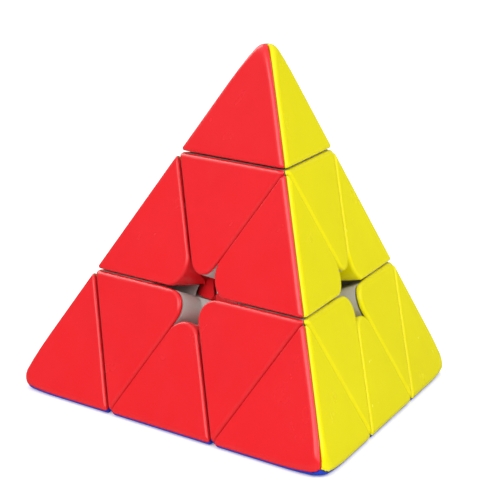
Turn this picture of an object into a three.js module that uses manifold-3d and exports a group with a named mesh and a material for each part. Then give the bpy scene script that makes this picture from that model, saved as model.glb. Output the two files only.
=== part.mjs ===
// A pyramid twisty puzzle: a regular tetrahedron cut into four tips, four axial pieces and six
// edge pieces round a four-armed core. Every cut is a plane square to one of the four corner axes,
// or a sphere about the centre, so any one layer turns freely. Millimetres, +Z up. The origin is
// the point where the four corner axes cross, and the puzzle stands on its blue face.
import * as THREE from "three";
import { mergeVertices } from "three/addons/utils/BufferGeometryUtils.js";
import Module from "manifold-3d";

// Driving dimensions of the pyramid.
const EDGE = 103; // edge of the sharp tetrahedron, which rounding its corners cuts to about 96
const GAP = 0.4; // between neighbouring pieces
const SEAM = 0.3; // between the moulded parts of one piece
const RIDGE_CUT = 1; // depth of the chamfer along each ridge
const VERTEX_CUT = 4.9; // depth of the cut across each corner
const TIP_DROP = 0.95; // how far each tip's cut lies below a third of the way down the ridges
const AXIAL_ROUND = 3.8; // radius of an axial piece's corner at a face's centre
const EDGE_ROUND = 5.6; // radius of an edge piece's corner there
const CORNER_DEPTH = 7; // how deep those rounded corners go

// Driving dimensions of the parts inside.
const SHELL = 2.4; // thickness of a tip's coloured shell
const CAP = 1; // thickness of an axial piece's coloured cap
const UNDERCUT = 2.4; // how far the edge feet reach under the axial pieces
const FOOT_SPHERE = 15; // radius of the sphere that the feet stay inside
const ROOF_SPHERE = 15.7; // radius of the hollow that the feet turn in
const HUB_SPHERE = 9; // radius that the hub's corners are cut to
const CLIP = { radius: 1.6, reach: 2.8, out: 23, along: 4.5 }; // pegs that join an edge's halves
const ARM = { radius: 3.4, end: 10.8, bore: 1.5, boreFrom: 3.6 };
const ARM_CLEARANCE = 0.3;
const SCREW = { radius: 1.2, from: 4.2, head: 20.8, headRadius: 3, headHeight: 2.2, point: 0.72, bevel: 0.7 };
const RECESS = { length: 3.9, width: 0.7, depth: 1 }; // each slot of the cross in a screw's head
const FLOOR = { from: 11.2, to: 13.2, hole: 1.7 }; // the axial floor that the spring presses on
const SPRING = { radius: 2.5, wire: 0.36, from: 13.9, to: 20.1, turns: 4 };
const CHAMBER = { low: 6, wide: 8.6, widest: 20.5, high: 6 }; // the axial hollow round the spring
const LID = { from: 31.4, hole: 3.4 }; // the axial roof that a tip's stem snaps through
const STEM = { radius: 3.1, end: 28.1, barb: 4.3, barbFrom: 29.5, barbTo: 31.1, bore: 1.5, slot: 1, root: 4 };
const SPHERE_PARTS = 24; // facets round a sphere
const ROUND_PARTS = 20; // facets round a shaft or a bore
const COIL_PARTS = 10; // straight lengths in one turn of a spring
const CURVE_PARTS = 3; // half the straight lengths in the outline of a wire or a rounded corner
const WELD = 1e-4; // distance at which two corners of a mesh are one

// Distances from the centre that follow from the edge.
const HEIGHT = EDGE * Math.sqrt(2 / 3);
const FACE = HEIGHT / 4; // to each face
const LAYER = HEIGHT / 12; // to each layer's cut
const TIP = (5 * HEIGHT) / 12 - TIP_DROP; // to each tip's cut
const VERTEX = (3 * HEIGHT) / 4; // to each corner
const FAR = 2 * EDGE;

const UP = new THREE.Vector3(0, 0, 1);
const corner = (degrees) =>
  new THREE.Vector3(Math.sqrt(8) / 3, 0, -1 / 3).applyAxisAngle(UP, THREE.MathUtils.degToRad(degrees));
const AXES = { top: UP, front: corner(-90), right: corner(30), left: corner(150) };
const CORNERS = Object.keys(AXES);
// The colour of the face opposite each corner.
const FACE_COLOURS = { right: "red", left: "yellow", top: "blue", front: "green" };

const plastic = (color, roughness) => new THREE.MeshStandardMaterial({ color, roughness, metalness: 0 });
const steel = (color, roughness) => new THREE.MeshStandardMaterial({ color, roughness, metalness: 1 });
const MATERIALS = {
  red: plastic(0xe8262c, 0.28),
  yellow: plastic(0xe8de16, 0.28),
  blue: plastic(0x1a3cc4, 0.28),
  green: plastic(0x14a046, 0.28),
  inner: plastic(0xd8d8d4, 0.45),
  screw: steel(0xa8aab0, 0.35),
  spring: steel(0x8e9096, 0.3),
};

const wasm = await Module();
wasm.setup();

// A closed geometry as a solid that can be cut and joined.
function solid(geometry) {
  const bare = geometry.clone();
  bare.deleteAttribute("normal");
  bare.deleteAttribute("uv");
  const merged = mergeVertices(bare, WELD);
  const vertProperties = merged.attributes.position.array;
  const triVerts = new Uint32Array(merged.index.array);
  return new wasm.Manifold(new wasm.Mesh({ numProp: 3, vertProperties, triVerts }));
}

// A solid back as a geometry.
function geometryOf(shape) {
  const mesh = shape.getMesh();
  const geometry = new THREE.BufferGeometry();
  geometry.setAttribute("position", new THREE.BufferAttribute(mesh.vertProperties, 3));
  geometry.setIndex(new THREE.BufferAttribute(mesh.triVerts, 1));
  return geometry;
}

const common = (first, ...others) => others.reduce((shape, other) => shape.intersect(other), first);
const joined = (first, ...others) => others.reduce((shape, other) => shape.add(other), first);
const without = (first, ...others) => others.reduce((shape, other) => shape.subtract(other), first);
const turnFromUp = (direction) => new THREE.Quaternion().setFromUnitVectors(UP, direction);
const between = (a, b) => a.clone().sub(b).normalize();

// Everything whose distance along a direction lies between two values.
function slab(direction, low, high) {
  const box = new THREE.BoxGeometry(2 * FAR, 2 * FAR, high - low);
  box.translate(0, 0, (low + high) / 2);
  return solid(box.applyQuaternion(turnFromUp(direction)));
}
const beyond = (direction, low) => slab(direction, low, FAR);
const upTo = (direction, high) => slab(direction, -FAR, high);

function ball(radius) {
  return solid(new THREE.SphereGeometry(radius, SPHERE_PARTS, SPHERE_PARTS / 2));
}

// A shape turned about a corner axis, from [radius, distance along the axis] points.
function turned(points, direction = UP) {
  const profile = points.map(([radius, along]) => new THREE.Vector2(radius, along));
  const lathe = new THREE.LatheGeometry(profile, ROUND_PARTS);
  lathe.rotateX(Math.PI / 2);
  return solid(lathe.applyQuaternion(turnFromUp(direction)));
}

function rod(radius, from, to, direction) {
  const profile = [
    [0, from],
    [radius, from],
    [radius, to],
    [0, to],
  ];
  return turned(profile, direction);
}

// The whole outside: four faces, six chamfered ridges and four blunted corners.
function pyramid() {
  let shape = common(...CORNERS.map((name) => beyond(AXES[name], -FACE)));
  CORNERS.forEach((name, index) => {
    shape = shape.intersect(upTo(AXES[name], VERTEX - VERTEX_CUT));
    CORNERS.slice(index + 1).forEach((other) => {
      const ridge = AXES[name].clone().add(AXES[other]).normalize();
      const reach = VERTEX * AXES[name].dot(ridge);
      shape = shape.intersect(upTo(ridge, reach - RIDGE_CUT));
    });
  });
  return shape;
}

// The six-pointed hole at the centre of a face, square to the face. Each of its sides is the
// rounded 60 degree corner of one piece, tangent to that piece's two walls. Axial and edge pieces
// take turns round it.
function star(face) {
  const normal = AXES[face].clone().negate();
  const inward = AXES.top.equals(AXES[face]) ? AXES.front : AXES.top;
  const across = inward.clone().projectOnPlane(normal).normalize();
  const outline = new THREE.Shape();
  for (let side = 0; side < 6; side += 1) {
    const angle = (side * Math.PI) / 3;
    const radius = side % 2 ? EDGE_ROUND : AXIAL_ROUND;
    const reach = 2 * radius + GAP;
    const [x, y] = [reach * Math.cos(angle), reach * Math.sin(angle)];
    const first = angle - (2 * Math.PI) / 3;
    outline.absarc(x, y, radius, first, first - (2 * Math.PI) / 3, true);
  }
  const prism = new THREE.ExtrudeGeometry(outline, {
    depth: CORNER_DEPTH + 1,
    bevelEnabled: false,
    curveSegments: CURVE_PARTS,
  });
  prism.translate(0, 0, FACE - CORNER_DEPTH);
  const side = new THREE.Vector3().crossVectors(normal, across);
  prism.applyMatrix4(new THREE.Matrix4().makeBasis(across, side, normal));
  return solid(prism);
}

// The part of a piece that is nearer to one face than to the piece's other faces.
function sector(face, others) {
  const sides = others.map((other) => upTo(between(AXES[face], AXES[other]), -SEAM / 2));
  return common(...sides);
}

const outside = pyramid();
const stars = Object.fromEntries(CORNERS.map((name) => [name, star(name)]));
const CLEAR = GAP / 2;
const LOWER = LAYER - UNDERCUT; // the layer's cut inside the foot sphere
const SIDES = ["front", "right", "left"]; // the faces that the top corner's pieces show

// One coloured shell of the top tip, on the face opposite the right corner.
function tipShell() {
  const block = common(outside, beyond(UP, TIP + CLEAR), sector("right", ["front", "left"]));
  return block.intersect(upTo(AXES.right, SHELL - FACE));
}

// The top tip's body: a small pyramid behind the shells, and a split stem with a barb below it.
function tipStem() {
  const walls = SIDES.map((name) => beyond(AXES[name], SHELL + SEAM - FACE));
  const inside = common(outside, beyond(UP, TIP + CLEAR), ...walls);
  const stem = turned([
    [0, STEM.end],
    [STEM.radius, STEM.end],
    [STEM.barb, STEM.barbFrom],
    [STEM.barb, STEM.barbTo],
    [STEM.radius, STEM.barbTo],
    [STEM.radius, TIP + 1],
    [0, TIP + 1],
  ]);
  const length = TIP - STEM.end;
  const slot = new THREE.BoxGeometry(4 * STEM.barb, STEM.slot, length);
  slot.translate(0, 0, TIP - length / 2 - 1);
  const slots = [slot, slot.clone().rotateZ(Math.PI / 2)].map(solid);
  return without(joined(inside, stem), rod(STEM.bore, STEM.end - 1, TIP + STEM.root), ...slots);
}

const axialBlock = (inset) =>
  common(
    outside,
    slab(UP, LAYER + CLEAR, TIP - CLEAR),
    ...SIDES.map((name) => slab(AXES[name], inset - FACE, LAYER - CLEAR)),
  );

// One coloured cap of the top axial piece, on the face opposite the right corner.
function axialCap() {
  const block = common(axialBlock(0), sector("right", ["front", "left"]), upTo(AXES.right, CAP - FACE));
  return block.subtract(stars.right);
}

// The top axial piece's body: a block under the caps that roofs over the edge feet, a neck that
// reaches in to the core's arm, a floor for the spring and a lid for the tip's stem.
function axialBody() {
  const block = axialBlock(CAP + SEAM);
  const neck = common(...SIDES.map((name) => upTo(AXES[name], LOWER - CLEAR)), beyond(UP, LOWER + CLEAR));
  const roof = block.subtract(ball(ROOF_SPHERE));
  const shape = joined(roof, neck.intersect(ball(FOOT_SPHERE)), block.intersect(neck));
  const hollow = turned([
    [0, 0],
    [ARM.radius + ARM_CLEARANCE, 0],
    [ARM.radius + ARM_CLEARANCE, FLOOR.from],
    [FLOOR.hole, FLOOR.from],
    [FLOOR.hole, FLOOR.to],
    [CHAMBER.low, FLOOR.to],
    [CHAMBER.wide, CHAMBER.widest],
    [CHAMBER.high, LID.from],
    [LID.hole, LID.from],
    [LID.hole, TIP + 1],
    [0, TIP + 1],
  ]);
  return without(shape, hollow, ...SIDES.map((name) => stars[name]));
}

const edgeBlock = () => common(outside, beyond(UP, LAYER + CLEAR), beyond(AXES.front, LAYER + CLEAR));
const edgeOut = UP.clone().add(AXES.front).normalize(); // towards the middle of the ridge
const edgeAlong = between(UP, AXES.front); // along the ridge
const edgeAcross = between(AXES.left, AXES.right); // square to the plane where the halves meet

// A rod across the plane where the two halves meet, to one side of the middle of the ridge.
function clip(radius, reach, side) {
  const place = edgeOut.clone().multiplyScalar(CLIP.out).addScaledVector(edgeAlong, side * CLIP.along);
  const shaft = new THREE.CylinderGeometry(radius, radius, 2 * reach, ROUND_PARTS).rotateX(Math.PI / 2);
  shaft.applyQuaternion(turnFromUp(edgeAcross)).translate(...place.toArray());
  return solid(shaft);
}

// One coloured half of the top-front edge piece, on the face opposite the right corner. Inside
// the sphere it widens into half a foot that hooks under the two axial pieces. Each half has a
// clip that snaps into the other's socket.
function edgeHalf() {
  const hooks = [beyond(UP, LOWER + CLEAR), beyond(AXES.front, LOWER + CLEAR)];
  const limits = [upTo(AXES.right, LOWER - CLEAR), upTo(AXES.left, LOWER - CLEAR)];
  const foot = common(ball(FOOT_SPHERE), ...hooks, ...limits);
  const whole = joined(edgeBlock().subtract(stars.right), foot);
  const half = whole.intersect(sector("right", ["left"]));
  const socket = clip(CLIP.radius + SEAM, CLIP.reach + SEAM, -1);
  return without(joined(half, clip(CLIP.radius, CLIP.reach, 1)), socket);
}

// A small tetrahedral hub with an arm and a screw bore along each axis.
function core() {
  const walls = CORNERS.map((name) => upTo(AXES[name], LOWER - CLEAR));
  const arms = CORNERS.map((name) => rod(ARM.radius, 0, ARM.end, AXES[name]));
  const bores = CORNERS.map((name) => rod(ARM.bore, ARM.boreFrom, ARM.end + 1, AXES[name]));
  return without(joined(common(ball(HUB_SPHERE), ...walls), ...arms), ...bores);
}

// A screw with a cross recess in its head.
function screw() {
  const top = SCREW.head + SCREW.headHeight;
  const blank = turned([
    [0, SCREW.from],
    [SCREW.point, SCREW.from],
    [SCREW.radius, SCREW.from + 1],
    [SCREW.radius, SCREW.head],
    [SCREW.headRadius, SCREW.head],
    [SCREW.headRadius, top - SCREW.bevel],
    [SCREW.headRadius - SCREW.bevel, top],
    [0, top],
  ]);
  const slot = new THREE.BoxGeometry(RECESS.length, RECESS.width, 2 * RECESS.depth);
  slot.translate(0, 0, top);
  return without(blank, solid(slot), solid(slot.clone().rotateZ(Math.PI / 2)));
}

// The coil of a compression spring.
class Coil extends THREE.Curve {
  getPoint(t, target = new THREE.Vector3()) {
    const angle = 2 * Math.PI * SPRING.turns * t;
    const along = SPRING.from + (SPRING.to - SPRING.from) * t;
    return target.set(SPRING.radius * Math.cos(angle), SPRING.radius * Math.sin(angle), along);
  }
}

function spring() {
  const wire = new THREE.Shape();
  wire.absarc(0, 0, SPRING.wire, 0, 2 * Math.PI);
  return solid(
    new THREE.ExtrudeGeometry(wire, {
      steps: COIL_PARTS * SPRING.turns,
      extrudePath: new Coil(),
      curveSegments: CURVE_PARTS,
    }),
  );
}

const geometries = {
  tipShell: geometryOf(tipShell()),
  tipStem: geometryOf(tipStem()),
  axialCap: geometryOf(axialCap()),
  axialBody: geometryOf(axialBody()),
  edgeHalf: geometryOf(edgeHalf()),
  core: geometryOf(core()),
  screw: geometryOf(screw()),
  spring: geometryOf(spring()),
};

// The half turn about the middle of an edge swaps that edge's two corners and the other two.
function halfTurn(a, b) {
  return new THREE.Quaternion().setFromAxisAngle(AXES[a].clone().add(AXES[b]).normalize(), Math.PI);
}
const thirdTurn = (count) => new THREE.Quaternion().setFromAxisAngle(UP, (2 * Math.PI * count) / 3);
const toCorner = (name) => (name === "top" ? new THREE.Quaternion() : halfTurn("top", name));

// The corner that a turn carries another corner to.
function landing(turn, from) {
  const there = AXES[from].clone().applyQuaternion(turn);
  return CORNERS.find((name) => AXES[name].dot(there) > 0.9);
}

function piece(name, geometry, material, turn = new THREE.Quaternion()) {
  const mesh = new THREE.Mesh(geometry, material);
  mesh.name = name;
  mesh.quaternion.copy(turn);
  return mesh;
}

const puzzle = new THREE.Group();
puzzle.add(piece("core", geometries.core, MATERIALS.inner));

// Everything on one corner axis is modelled at the top and turned to its corner.
CORNERS.forEach((name) => {
  const group = new THREE.Group();
  group.quaternion.copy(toCorner(name));
  group.add(piece(`screw_${name}`, geometries.screw, MATERIALS.screw));
  group.add(piece(`spring_${name}`, geometries.spring, MATERIALS.spring));
  group.add(piece(`axial_${name}_body`, geometries.axialBody, MATERIALS.inner));
  group.add(piece(`tip_${name}_stem`, geometries.tipStem, MATERIALS.inner));
  [0, 1, 2].forEach((count) => {
    const turn = thirdTurn(count);
    const colour = FACE_COLOURS[landing(toCorner(name).multiply(turn), "right")];
    group.add(piece(`axial_${name}_cap_${colour}`, geometries.axialCap, MATERIALS[colour], turn));
    group.add(piece(`tip_${name}_shell_${colour}`, geometries.tipShell, MATERIALS[colour], turn));
  });
  puzzle.add(group);
});

// The turn that carries the top-front edge piece to another pair of corners.
function toEdge(a, b) {
  const thirds = [0, 1, 2];
  const turns = CORNERS.flatMap((name) => thirds.map((count) => toCorner(name).multiply(thirdTurn(count))));
  return turns.find((turn) => landing(turn, "top") === a && landing(turn, "front") === b);
}

CORNERS.forEach((a, index) =>
  CORNERS.slice(index + 1).forEach((b) => {
    const group = new THREE.Group();
    group.quaternion.copy(toEdge(a, b));
    [new THREE.Quaternion(), halfTurn("top", "front")].forEach((turn) => {
      const colour = FACE_COLOURS[landing(toEdge(a, b).multiply(turn), "right")];
      group.add(piece(`edge_${a}_${b}_half_${colour}`, geometries.edgeHalf, MATERIALS[colour], turn));
    });
    puzzle.add(group);
  }),
);

export default puzzle;
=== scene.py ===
"""The looks of the pyramid twisty puzzle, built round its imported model.

Each piece that shows is built once, for the top corner, the top-front edge and the face opposite
the right corner, and turned to each of its places. Lengths in the builders are millimetres, and
the finished meshes are in metres.
"""

import math

import bmesh
import bpy
import numpy as np
from mathutils import Matrix, Quaternion, Vector


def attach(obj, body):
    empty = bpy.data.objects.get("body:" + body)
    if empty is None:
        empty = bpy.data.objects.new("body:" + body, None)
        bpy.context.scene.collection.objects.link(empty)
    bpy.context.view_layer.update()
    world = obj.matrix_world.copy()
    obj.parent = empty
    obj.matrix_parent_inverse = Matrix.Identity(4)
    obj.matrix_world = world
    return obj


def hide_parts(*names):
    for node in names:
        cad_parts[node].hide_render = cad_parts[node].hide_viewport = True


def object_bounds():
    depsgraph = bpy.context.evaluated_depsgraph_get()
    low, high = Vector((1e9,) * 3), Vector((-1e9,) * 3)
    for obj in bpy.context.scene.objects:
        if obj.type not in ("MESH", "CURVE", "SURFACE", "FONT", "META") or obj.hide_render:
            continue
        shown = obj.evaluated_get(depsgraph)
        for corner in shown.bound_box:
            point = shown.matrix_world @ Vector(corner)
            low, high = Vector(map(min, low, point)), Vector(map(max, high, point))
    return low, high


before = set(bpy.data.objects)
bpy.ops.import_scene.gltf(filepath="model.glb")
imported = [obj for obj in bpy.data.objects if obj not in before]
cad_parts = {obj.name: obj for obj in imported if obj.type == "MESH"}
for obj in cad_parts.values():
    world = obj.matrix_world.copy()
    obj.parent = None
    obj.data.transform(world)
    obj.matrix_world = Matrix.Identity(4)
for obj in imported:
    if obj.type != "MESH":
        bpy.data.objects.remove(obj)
cad_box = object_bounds()
MM = 0.001

# The pyramid's sizes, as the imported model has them. FACE, LAYER, TIP and VERTEX are distances from
# the middle of the puzzle along a corner axis.
EDGE = 103.0
HEIGHT = EDGE * math.sqrt(2 / 3)
FACE = HEIGHT / 4  # to a face
LAYER = HEIGHT / 12  # to a layer's cut
TIP = 5 * HEIGHT / 12 - 0.95  # to a tip's cut
VERTEX = 3 * HEIGHT / 4  # to a sharp corner
GAP = 0.4  # between pieces that move past each other

# How thick the coloured parts are, and how the inside of the puzzle is cut.
SHELL = 2.4  # a tip's shell
CAP = 1.0  # an axial piece's cap
CAP_SEAM = 0.3  # between a cap and the grey body under it
UNDERCUT = 2.4  # how much nearer to the middle the layer's cut is round the feet
FOOT_SPHERE = 15.0  # round the edge pieces' feet
ROOF_SPHERE = 15.7  # inside the roofs that hold the feet in
# How far below a face the grey body's and the inner blocks' corners stay rounded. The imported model
# has 7, where this cut would leave the grey body's mesh open along three edges.
CORNER_DEPTH = 6.87
WALL_LENGTH = 8.0  # how far that rounding's cut goes along the walls
RIM_DEPTH = 1.2  # from a face down to where an edge piece's inner block starts
INSIDE = 0.03  # how far the inner block stays within the walls of the rounded one

# The corners of the pieces at the middle of a face.
AXIAL_ROUND = 3.8
EDGE_ROUND = 5.6
ROUND_REACH = math.radians(56)  # how far round a corner its arc goes, each way

# How far each kind of edge is rounded.
RIDGE_ROUND = 2.16
RIM_ROUND = 0.8
SEAM_ROUND = 0.16
HIDDEN_ROUND = 0.12
MITRE = 0.05  # half of the seam between two colours along a ridge

# A tip's blunt end.
DOME = 4.4
DOME_DEPTH = 9.5  # from the sharp corner to the middle of the dome
DOME_ROUND = 1.0  # the blend from the dome to the faces
DOME_REACH = math.radians(48)  # how far from the corner axis it stays round

# The hollow of an axial piece: radius and distance along its axis.
HOLLOW = [
    (0, 0),  # round the core's arm
    (3.7, 0),
    (3.7, 11.2),
    (1.7, 11.2),  # through the floor under the spring
    (1.7, 13.2),
    (6, 13.2),  # the spring's chamber
    (8.6, 20.5),
    (6, 32),
    (3.4, 32),  # round the tip's stem
    (3.4, TIP + 1),
    (0, TIP + 1),
]

# Where the rays that make a piece's surface go. Along an outline, distances from a sharp corner.
CORNER_STEPS = [0, 0.1, 0.22, 0.36, 0.52, 0.72, 0.98, 1.3, 1.7, 2.2, 2.9, 4.0]
ROUND_STEP = 0.3  # the first step past a rounded corner
MIDDLE_STOPS = 8
ARC_STOPS = 37
# Degrees up and down from level, from the anchors.
FAN = [88, 75, 60, 48, 40, 34, 30, 27, 25, 23, 21.4, 19.8]
FAN += [18.2, 16.6, 15, 13.4, 11.8, 10.2, 8.6, 7, 5.2, 3, 0]
UNDER = [-4, -9, -15, -22, -32, -45, -58, -72, -85]
# Shares of the way out to the rim, for the flat inside the anchors' ring.
INNER = [0.25, 0.5, 0.68, 0.73, 0.76, 0.78]
ANCHOR_SCALE = 0.8
ANCHOR_DEPTH = 0.7
FAR = 80.0  # longer than any ray needs to be
HALVINGS = 44
SAME_POINT = 2e-4

BALL_PARTS = (96, 48)
LATHE_PARTS = 64
CORNER_PARTS = 41
SMOOTH_ANGLE = 35  # sharper edges than this stay sharp
BODY_SMOOTH_ANGLE = 3

FACES = {"right": "red", "left": "yellow", "top": "blue", "front": "green"}
CORNERS = ["top", "front", "right", "left"]
UP = Vector((0, 0, 1))


def corner_axis(degrees):
    a = math.radians(degrees)
    return Vector((math.sqrt(8) / 3 * math.cos(a), math.sqrt(8) / 3 * math.sin(a), -1 / 3))


AXES = {"top": UP, "front": corner_axis(-90), "right": corner_axis(30), "left": corner_axis(150)}
AX = {name: np.array(axis) for name, axis in AXES.items()}

# The face that the builders work on, opposite the right corner, and the directions in it: up, and
# towards the middle of the top-front ridge.
NORMAL = -AX["right"]
FACE_UP = AX["top"] - (AX["top"] @ NORMAL) * NORMAL
FACE_UP /= np.linalg.norm(FACE_UP)
FACE_CENTRE = NORMAL * FACE
TOP_FRONT = AX["top"] + AX["front"]
RIDGE_WARD = TOP_FRONT - (TOP_FRONT @ NORMAL) * NORMAL
RIDGE_WARD /= np.linalg.norm(RIDGE_WARD)


def unit(v):
    return v / np.linalg.norm(v)


# ---- distance fields: positive inside a piece ----


def rounded(distances, radius):
    """The overlap of several shapes, with the edges where they meet rounded off."""
    total = sum(np.maximum(0, 1 - d / radius) ** 2 for d in distances)
    return radius * (1 - np.sqrt(total))


def outer(p, faces):
    return rounded([FACE + p @ AX[name] for name in faces], RIDGE_ROUND)


def mitre(p, other):
    """Distance from the plane through the corner axis and a ridge, on the side of this face."""
    return -MITRE - p @ unit(AX["right"] - AX[other])


def round_corner(p, outward, radius):
    """A piece's rounded corner at the face's middle, square to the face. Outward points away from
    the middle, along the piece."""
    centre, toward = FACE_CENTRE + outward * (2 * radius + GAP), -outward
    across = np.cross(NORMAL, toward)
    x, y = (p - centre) @ toward, (p - centre) @ across
    r = np.hypot(x, y)
    over = np.maximum(0, np.abs(np.arctan2(y, x)) - ROUND_REACH)
    return radius - r * np.cos(over)


def tip_shell_field(p):
    off = p - AX["top"] * (VERTEX - DOME_DEPTH)
    size = np.linalg.norm(off, axis=1)
    lean = np.arccos(np.clip(off @ AX["top"] / size, -1, 1))
    dome = DOME - size * np.cos(np.maximum(0, lean - DOME_REACH))
    skin = rounded([outer(p, ["right", "left", "front"]), dome], DOME_ROUND)
    rim = rounded([skin, p @ AX["top"] - (TIP + GAP / 2)], RIM_ROUND)
    sides = rounded([rim, mitre(p, "left"), mitre(p, "front")], SEAM_ROUND)
    return rounded([sides, SHELL - (FACE + p @ AX["right"])], HIDDEN_ROUND)


def axial_cap_field(p):
    walls = [LAYER - GAP / 2 - p @ AX[name] for name in ("front", "left")]
    sides = np.minimum(np.minimum(*walls), round_corner(p, FACE_UP, AXIAL_ROUND))
    skin = outer(p, ["right", "left", "front"])
    rim = rounded([skin, TIP - GAP / 2 - p @ AX["top"], sides], RIM_ROUND)
    seams = rounded([rim, mitre(p, "left"), mitre(p, "front")], SEAM_ROUND)
    return rounded([seams, CAP - (FACE + p @ AX["right"])], HIDDEN_ROUND)


def edge_half_field(p):
    walls = [p @ AX[name] - LAYER - GAP / 2 for name in ("front", "top")]
    sides = np.minimum(np.minimum(*walls), round_corner(p, RIDGE_WARD, EDGE_ROUND))
    rim = rounded([outer(p, ["right", "left"]), sides], RIM_ROUND)
    return rounded([rim, mitre(p, "left")], SEAM_ROUND)


# ---- meshes ----


def surface_along(field, start, direction, reach):
    """Where rays from inside points meet a convex field's surface."""
    low, high = np.zeros(len(start)), np.full(len(start), reach)
    for _ in range(HALVINGS):
        middle = (low + high) / 2
        inside = field(start + direction * middle[:, None]) > 0
        low, high = np.where(inside, middle, low), np.where(inside, high, middle)
    return start + direction * low[:, None]


def clustered(a, b, from_round, to_round):
    """Points from a to b, close together near each end that is a sharp corner. A sharp end b is
    left out, because the next side starts with it."""
    length = np.linalg.norm(b - a)
    stops = [0.0, ROUND_STEP] if from_round else list(CORNER_STEPS)
    ends = [length - s for s in ([ROUND_STEP] if to_round else reversed(CORNER_STEPS))]
    middle = np.linspace(stops[-1], ends[0], MIDDLE_STOPS)[1:-1]
    last = None if to_round else -1
    return [a + (b - a) * s / length for s in [*stops, *middle, *ends[:last]]]


def outline_of(corners, radius):
    """The outline of a triangle, whose first corner is rounded to a radius unless that is 0."""
    if not radius:
        ends = [(a, b, False, False) for a, b in zip(corners, corners[1:] + corners[:1])]
        return [point for end in ends for point in clustered(*end)]
    tip, second, third = corners
    go, come = unit(second - tip), unit(tip - third)
    leave, arrive = tip + go * radius * math.sqrt(3), tip - come * radius * math.sqrt(3)
    centre = tip + unit(go - come) * 2 * radius
    direction = arrive - centre
    axis = np.cross(direction, leave - centre)
    aside = np.cross(axis, direction)
    arc = []
    for share in np.linspace(0, 1, ARC_STOPS)[:-1]:
        a = math.radians(120) * share
        turned = direction * math.cos(a) + aside * (math.sin(a) / np.linalg.norm(axis))
        arc.append(centre + turned)
    return [
        *arc,
        *clustered(leave, second, True, False),
        *clustered(second, third, False, False),
        *clustered(third, arrive, False, True),
    ]


def patch(field, corners, pole, radius=0):
    """A convex piece under the face. Its outline's corners are points in the face plane. Rays fan
    out in upright planes round the pole: down on to the face inside the anchors' ring, and out of
    the anchors towards the rim and the underside."""
    outline = np.array(outline_of(corners, radius))
    sideways = outline - pole
    sideways /= np.linalg.norm(sideways, axis=1)[:, None]
    level = np.tile(pole - NORMAL * ANCHOR_DEPTH, (len(outline), 1))
    out = surface_along(field, level, sideways, FAR) - level
    anchors = level + out * ANCHOR_SCALE
    rings = []
    upward = np.tile(NORMAL, (len(out), 1))
    for share in INNER:
        rings.append(surface_along(field, level + out * share, upward, 3 * ANCHOR_DEPTH))
    for degrees in FAN + UNDER:
        a = math.radians(degrees)
        leaning = sideways * math.cos(a) + NORMAL * math.sin(a)
        rings.append(surface_along(field, anchors, leaning, FAR))
    middle = level[:1]
    top = surface_along(field, middle, NORMAL[None], 5.0)[0]
    bottom = surface_along(field, middle, -NORMAL[None], FAR)[0]
    bm = bmesh.new()
    rows = [[bm.verts.new(v) for v in ring] for ring in rings]
    first, last = bm.verts.new(top), bm.verts.new(bottom)
    count = len(outline)
    for i in range(count):
        j = (i + 1) % count
        bm.faces.new((first, rows[0][i], rows[0][j]))
        for upper, lower in zip(rows, rows[1:]):
            bm.faces.new((upper[i], lower[i], lower[j], upper[j]))
        bm.faces.new((last, rows[-1][j], rows[-1][i]))
    bmesh.ops.remove_doubles(bm, verts=bm.verts, dist=SAME_POINT)
    bmesh.ops.recalc_face_normals(bm, faces=bm.faces)
    return bm


def face_point(conditions):
    """The point of the face plane where two other distances hold."""
    rows, values = [NORMAL], [FACE]
    for direction, value in conditions:
        rows.append(direction)
        values.append(value)
    return np.linalg.solve(np.array(rows), np.array(values))


RIDGE = {other: unit(AX["right"] - AX[other]) for other in ("left", "front")}


def tip_shell():
    low = TIP + GAP / 2
    corners = [
        face_point([(RIDGE["left"], 0), (RIDGE["front"], 0)]),
        face_point([(RIDGE["front"], 0), (AX["top"], low)]),
        face_point([(RIDGE["left"], 0), (AX["top"], low)]),
    ]
    return patch(tip_shell_field, corners, sum(corners) / 3)


def axial_cap():
    wall, high = LAYER - GAP / 2, TIP - GAP / 2
    corners = [
        face_point([(AX["front"], wall), (AX["left"], wall)]),
        face_point([(AX["left"], wall), (AX["top"], high)]),
        face_point([(AX["top"], high), (AX["front"], wall)]),
    ]
    return patch(axial_cap_field, corners, sum(corners) / 3, AXIAL_ROUND)


def edge_half():
    """One colour of an edge piece: its rounded block, a plain block under it, and half of its foot.
    The three overlap and make up one piece."""
    low = LAYER + GAP / 2
    corners = [
        face_point([(AX["top"], low), (AX["front"], low)]),
        face_point([(AX["top"], low), (RIDGE["left"], 0)]),
        face_point([(RIDGE["left"], 0), (AX["front"], low)]),
    ]
    block = patch(edge_half_field, corners, sum(corners) / 3, EDGE_ROUND)
    half = (unit(AX["right"] - AX["left"]), -MITRE)
    under = cell(
        [
            (-AX["top"], -low - INSIDE),
            (-AX["front"], -low - INSIDE),
            (-AX["right"], FACE - RIM_DEPTH),
            (-AX["left"], FACE - RIM_DEPTH),
            half,
        ]
    )
    under = boolean(under, [("DIFFERENCE", corner_cut("right", 1, EDGE_ROUND))])
    lower = LAYER - UNDERCUT
    foot = cut_ball(
        FOOT_SPHERE,
        [
            (-AX["top"], -lower - GAP / 2),
            (-AX["front"], -lower - GAP / 2),
            (AX["right"], lower - GAP / 2),
            (AX["left"], lower - GAP / 2),
            half,
        ],
    )
    return joined(joined(block, under), foot)


def trim(bm, planes):
    """Keeps what lies inside each plane, given as its outward direction and its distance."""
    for normal, distance in planes:
        geometry = bm.verts[:] + bm.edges[:] + bm.faces[:]
        normal = Vector(normal)
        cut = bmesh.ops.bisect_plane(
            bm,
            geom=geometry,
            dist=1e-6,
            plane_co=normal * distance,
            plane_no=normal,
            clear_outer=True,
        )
        loop = [g for g in cut["geom_cut"] if isinstance(g, bmesh.types.BMEdge)]
        if loop:
            bmesh.ops.edgeloop_fill(bm, edges=loop)
    bmesh.ops.recalc_face_normals(bm, faces=bm.faces)
    return bm


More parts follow.
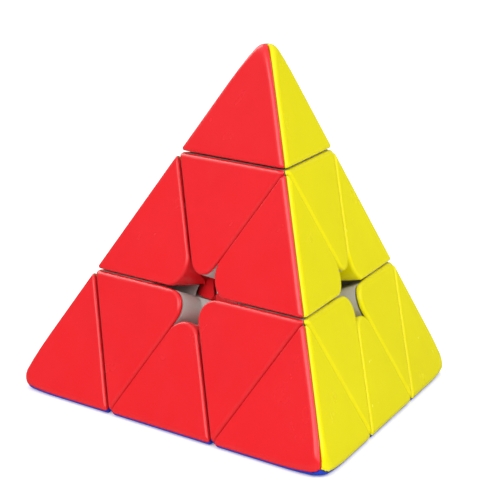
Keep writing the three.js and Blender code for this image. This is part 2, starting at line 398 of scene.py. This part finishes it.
def cut_ball(radius, planes):
    """A ball round the middle of the puzzle, trimmed."""
    bm = bmesh.new()
    bmesh.ops.create_uvsphere(bm, u_segments=BALL_PARTS[0], v_segments=BALL_PARTS[1], radius=radius)
    return trim(bm, planes)


def cell(planes):
    """The space inside all the planes."""
    bm = bmesh.new()
    bmesh.ops.create_cube(bm, size=4 * EDGE)
    return trim(bm, planes)


def joined(first, second):
    """Two meshes as one, with nothing cut or merged."""
    mesh = bpy.data.meshes.new("scratch")
    second.to_mesh(mesh)
    first.from_mesh(mesh)
    bpy.data.meshes.remove(mesh)
    return first


def lathe(points):
    """A solid turned round the Z axis, from radii and heights."""
    bm = bmesh.new()
    verts = [bm.verts.new((radius, 0, along)) for radius, along in points]
    edges = [bm.edges.new(pair) for pair in zip(verts, verts[1:])]
    bmesh.ops.spin(
        bm,
        geom=verts + edges,
        cent=(0, 0, 0),
        axis=UP,
        dvec=(0, 0, 0),
        angle=2 * math.pi,
        steps=LATHE_PARTS,
    )
    bmesh.ops.remove_doubles(bm, verts=bm.verts, dist=1e-4)
    bmesh.ops.recalc_face_normals(bm, faces=bm.faces)
    return bm


def scratch_object(bm):
    mesh = bpy.data.meshes.new("scratch")
    bm.to_mesh(mesh)
    obj = bpy.data.objects.new("scratch", mesh)
    bpy.context.scene.collection.objects.link(obj)
    return obj


def boolean(base, steps):
    """A solid after cuts and joins, as a new mesh."""
    obj = scratch_object(base)
    others = []
    for operation, bm in steps:
        other = scratch_object(bm)
        others.append(other)
        modifier = obj.modifiers.new("cut", "BOOLEAN")
        modifier.operation, modifier.solver, modifier.object = operation, "EXACT", other
    bpy.context.view_layer.update()
    evaluated = obj.evaluated_get(bpy.context.evaluated_depsgraph_get())
    result = bmesh.new()
    result.from_mesh(evaluated.to_mesh())
    for o in [obj, *others]:
        bpy.data.objects.remove(o)
    return result


def corner_cut(face, first, radius):
    """What lies past the rounded corners of every second piece at the middle of a face, square to
    the face, as a solid to cut with. It follows each corner's two walls for a way."""
    normal = -AX[face]
    inward = AX["front"] if face == "top" else AX["top"]
    across = unit(inward - (inward @ normal) * normal)
    side = np.cross(normal, across)

    def toward(angle):
        return math.cos(angle) * across + math.sin(angle) * side

    ring = []
    for index in (first, first + 2, first + 4):
        a = math.radians(60 * index)
        arc = [
            (2 * radius + GAP) * toward(a) + radius * toward(a - turn)
            for turn in np.linspace(math.radians(120), math.radians(240), CORNER_PARTS)
        ]
        ring.append(arc[0] + toward(a - math.pi / 6) * WALL_LENGTH)
        ring.extend(arc)
        ring.append(arc[-1] + toward(a + math.pi / 6) * WALL_LENGTH)
    bm = bmesh.new()
    heights = (FACE - CORNER_DEPTH, FACE + 1)
    low, high = [[bm.verts.new(p + normal * h) for p in ring] for h in heights]
    bm.faces.new(low[::-1])
    bm.faces.new(high)
    for a, b, c, d in zip(low, low[1:] + low[:1], high[1:] + high[:1], high):
        bm.faces.new((a, b, c, d))
    bmesh.ops.recalc_face_normals(bm, faces=bm.faces)
    return bm


def axial_body():
    """The grey body under the three caps, with its roof over the feet, its neck and its hollow."""
    inset = CAP + CAP_SEAM
    sides = ("front", "right", "left")
    planes = [(-AX["top"], -LAYER - GAP / 2), (AX["top"], TIP - GAP / 2)]
    planes += [(-AX[name], FACE - inset) for name in sides]
    planes += [(AX[name], LAYER - GAP / 2) for name in sides]
    lower = LAYER - UNDERCUT
    neck_planes = [(AX[name], lower - GAP / 2) for name in sides]
    neck_planes.append((-AX["top"], -lower - GAP / 2))
    roof = boolean(cut_ball(ROOF_SPHERE, []), [("DIFFERENCE", cell(neck_planes))])
    return boolean(
        cell(planes),
        [
            ("DIFFERENCE", roof),
            ("UNION", cut_ball(FOOT_SPHERE, neck_planes)),
            *[("DIFFERENCE", corner_cut(name, 0, AXIAL_ROUND)) for name in sides],
            ("DIFFERENCE", lathe(HOLLOW)),
        ],
    )


# ---- materials ----


def nodes_of(name):
    material = bpy.data.materials.new(name)
    material.use_nodes = True
    tree = material.node_tree
    return material, tree, tree.nodes["Principled BSDF"]


def noise(tree, scale, detail=3.0):
    coordinates = tree.nodes.new("ShaderNodeTexCoord")
    node = tree.nodes.new("ShaderNodeTexNoise")
    node.inputs["Scale"].default_value = scale
    node.inputs["Detail"].default_value = detail
    tree.links.new(coordinates.outputs["Object"], node.inputs["Vector"])
    return node.outputs["Fac"]


def ranged(tree, value, low, high):
    node = tree.nodes.new("ShaderNodeMapRange")
    node.inputs["From Min"].default_value = 0.3
    node.inputs["From Max"].default_value = 0.7
    node.inputs["To Min"].default_value = low
    node.inputs["To Max"].default_value = high
    tree.links.new(value, node.inputs["Value"])
    return node.outputs["Result"]


def mixed(tree, factor, first, second):
    node = tree.nodes.new("ShaderNodeMix")
    node.data_type = "RGBA"
    node.inputs["A"].default_value = (*first, 1)
    node.inputs["B"].default_value = (*second, 1)
    tree.links.new(factor, node.inputs["Factor"])
    return node.outputs["Result"]


def uneven(tree, shader, colour, shade, colour_scale, roughness, spread, gloss_scale):
    """Gives a shader a colour that drifts towards a darker shade, and gloss that drifts too."""
    drift = ranged(tree, noise(tree, colour_scale), 0.0, 1.0)
    tree.links.new(mixed(tree, drift, colour, [c * shade for c in colour]), shader.inputs["Base Color"])
    low, high = roughness * (1 - spread), roughness * (1 + spread)
    tree.links.new(ranged(tree, noise(tree, gloss_scale), low, high), shader.inputs["Roughness"])


def plastic(name, colour, roughness, specular=0.55):
    """Moulded plastic: slightly uneven in colour and gloss."""
    material, tree, shader = nodes_of(name)
    uneven(tree, shader, colour, 0.955, 45.0, roughness, 0.15, 160.0)
    shader.inputs["IOR"].default_value = 1.46
    shader.inputs["Specular IOR Level"].default_value = specular
    return material


def steel(name, colour, roughness):
    """Plated or drawn steel, with fine uneven gloss."""
    material, tree, shader = nodes_of(name)
    uneven(tree, shader, colour, 0.8, 500.0, roughness, 0.3, 1500.0)
    shader.inputs["Metallic"].default_value = 1.0
    return material


MATERIALS = {
    "red_plastic": plastic("red_plastic", (0.74, 0.014, 0.020), 0.24),
    "yellow_plastic": plastic("yellow_plastic", (0.80, 0.72, 0.001), 0.24, 0.25),
    "blue_plastic": plastic("blue_plastic", (0.008, 0.045, 0.52), 0.30),
    "green_plastic": plastic("green_plastic", (0.01, 0.34, 0.06), 0.30),
    "inner_plastic": plastic("inner_plastic", (0.55, 0.53, 0.50), 0.42),
    "screw_steel": steel("screw_steel", (0.55, 0.56, 0.58), 0.35),
    "spring_steel": steel("spring_steel", (0.45, 0.46, 0.48), 0.30),
}


# ---- places ----


def half_turn(a, b):
    """The half turn that swaps two corners."""
    return Quaternion((AXES[a] + AXES[b]).normalized(), math.pi)


def third_turn(count):
    return Quaternion(UP, 2 * math.pi * count / 3)


def to_corner(name):
    return Quaternion() if name == "top" else half_turn("top", name)


def landing(turn, start):
    """The corner that a turn brings a corner to."""
    there = turn @ AXES[start]
    return max(CORNERS, key=lambda name: AXES[name].dot(there))


def to_edge(a, b):
    """The turn that brings the top corner to a and the front one to b."""
    turns = [to_corner(name) @ third_turn(count) for name in CORNERS for count in range(3)]
    return next(t for t in turns if landing(t, "top") == a and landing(t, "front") == b)


def place(node, body, master, slot, turn=Quaternion()):
    """A copy of a finished piece at its place, standing for its CAD node."""
    mesh = master.copy()
    mesh.transform(turn.to_matrix().to_4x4())
    obj = bpy.data.objects.new(f"{node}_fine", mesh)
    bpy.context.scene.collection.objects.link(obj)
    mesh.materials.clear()
    mesh.materials.append(MATERIALS[slot])
    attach(obj, body)
    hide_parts(node)
    return obj


def finished(name, bm, angle=SMOOTH_ANGLE):
    """A piece's mesh in metres, smooth except at its real edges."""
    mesh = bpy.data.meshes.new(name)
    bm.to_mesh(mesh)
    mesh.transform(Matrix.Scale(MM, 4))
    mesh.shade_smooth()
    mesh.set_sharp_from_angle(angle=math.radians(angle))
    return mesh


masters = {
    "tip_shell": finished("tip_shell", tip_shell()),
    "axial_cap": finished("axial_cap", axial_cap()),
    "axial_body": finished("axial_body", axial_body(), BODY_SMOOTH_ANGLE),
    "edge_half": finished("edge_half", edge_half()),
}

for corner in CORNERS:
    turn = to_corner(corner)
    place(f"axial_{corner}_body", f"axial_{corner}", masters["axial_body"], "inner_plastic", turn)
    for count in range(3):
        there = turn @ third_turn(count)
        colour = FACES[landing(there, "right")]
        slot = f"{colour}_plastic"
        place(f"axial_{corner}_cap_{colour}", f"axial_{corner}", masters["axial_cap"], slot, there)
        place(f"tip_{corner}_shell_{colour}", f"tip_{corner}", masters["tip_shell"], slot, there)

for index, a in enumerate(CORNERS):
    for b in CORNERS[index + 1 :]:
        edge = f"edge_{a}_{b}"
        for turn in (to_edge(a, b), to_edge(a, b) @ half_turn("top", "front")):
            colour = FACES[landing(turn, "right")]
            place(f"{edge}_half_{colour}", edge, masters["edge_half"], f"{colour}_plastic", turn)

# The CAD nodes that still show, which are the core, screws, springs and stems.
for name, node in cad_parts.items():
    if node.hide_render:
        continue
    slot = {"screw": "screw_steel", "spring": "spring_steel"}.get(name.split("_")[0], "inner_plastic")
    node.data.materials.clear()
    node.data.materials.append(MATERIALS[slot])

# ---- floor, light and camera ----

FLOOR_SIZE = 12.0
floor_mesh = bpy.data.meshes.new("floor")
floor_bm = bmesh.new()
bmesh.ops.create_grid(floor_bm, x_segments=4, y_segments=4, size=FLOOR_SIZE / 2)
floor_bm.to_mesh(floor_mesh)
floor = bpy.data.objects.new("floor", floor_mesh)
floor.location = (0, 0, cad_box[0].z)
bpy.context.scene.collection.objects.link(floor)
floor_material, floor_tree, floor_shader = nodes_of("floor")
floor_colour = mixed(floor_tree, noise(floor_tree, 3.0), (0.92, 0.92, 0.92), (0.90, 0.90, 0.90))
floor_tree.links.new(floor_colour, floor_shader.inputs["Base Color"])
floor_shader.inputs["Roughness"].default_value = 0.6
# A faint glow keeps the floor as pale as the room behind it.
floor_shader.inputs["Emission Color"].default_value = (1, 1, 1, 1)
floor_shader.inputs["Emission Strength"].default_value = 0.25
floor_mesh.materials.append(floor_material)
floor.visible_glossy = False  # so that it doesn't wash out the colours near it

# The room is bright overhead and dim near the floor, and plain white where the camera sees it.
world = bpy.data.worlds.new("studio")
world.use_nodes = True
room = world.node_tree
direction = room.nodes.new("ShaderNodeSeparateXYZ")
room.links.new(room.nodes.new("ShaderNodeTexCoord").outputs["Generated"], direction.inputs["Vector"])
height = room.nodes.new("ShaderNodeMapRange")
height.inputs["From Min"].default_value = 0.25
height.inputs["From Max"].default_value = 0.65
height.inputs["To Min"].default_value = 0.1
height.inputs["To Max"].default_value = 0.8
room.links.new(direction.outputs["Z"], height.inputs["Value"])
seen = room.nodes.new("ShaderNodeMath")
seen.operation = "MAXIMUM"
room.links.new(room.nodes.new("ShaderNodeLightPath").outputs["Is Camera Ray"], seen.inputs[0])
room.links.new(height.outputs["Result"], seen.inputs[1])
room.nodes["Background"].inputs["Color"].default_value = (1, 1, 1, 1)
room.links.new(seen.outputs["Value"], room.nodes["Background"].inputs["Strength"])
bpy.context.scene.world = world


def soft_sun(name, azimuth, elevation, spread, strength):
    """A very large, far softbox. Azimuth 0 is in front of the puzzle, and 90 on its right."""
    data = bpy.data.lights.new(name, "SUN")
    data.angle, data.energy = math.radians(spread), strength
    light = bpy.data.objects.new(name, data)
    a, e = math.radians(azimuth), math.radians(elevation)
    toward = Vector((math.sin(a) * math.cos(e), -math.cos(a) * math.cos(e), math.sin(e)))
    light.rotation_mode = "QUATERNION"
    light.rotation_quaternion = toward.to_track_quat("Z", "Y")
    bpy.context.scene.collection.objects.link(light)


soft_sun("left_light", -62, 40, 34, 0.85)
soft_sun("front_light", -15, 32, 50, 0.8)
soft_sun("right_light", 50, 45, 40, 1.15)
soft_sun("rim_light", -150, 30, 30, 0.7)

# The camera, fitted to the reference view. The steps move it sideways and up from the line through
# the middle of the puzzle, without turning it.
AZIMUTH = math.radians(-12.014)
ELEVATION = math.radians(10.78)
ROLL = math.radians(0.769)
DISTANCE = 0.5293
SIDE_STEP = -0.002821
UP_STEP = 0.01363
LENS_OVER_WIDTH = 2472.3 / 500

level_back = Vector((math.sin(AZIMUTH), -math.cos(AZIMUTH), 0))
back = level_back * math.cos(ELEVATION) + UP * math.sin(ELEVATION)
right = Vector((math.cos(AZIMUTH), math.sin(AZIMUTH), 0))
up = back.cross(right)
camera_right = right * math.cos(ROLL) + up * math.sin(ROLL)
camera_up = up * math.cos(ROLL) - right * math.sin(ROLL)
camera_data = bpy.data.cameras.new("camera")
camera_data.sensor_width = 36
camera_data.lens = 36 * LENS_OVER_WIDTH
camera_data.clip_start = 0.01
camera_data.clip_end = 50
camera = bpy.data.objects.new("camera", camera_data)
camera_place = back * DISTANCE + camera_right * SIDE_STEP + camera_up * UP_STEP
facing = Matrix((camera_right, camera_up, back)).transposed().to_4x4()
camera.matrix_world = Matrix.Translation(camera_place) @ facing
bpy.context.scene.collection.objects.link(camera)
bpy.context.scene.camera = camera
bpy.context.scene.view_settings.view_transform = "Standard"

bpy.context.view_layer.update()
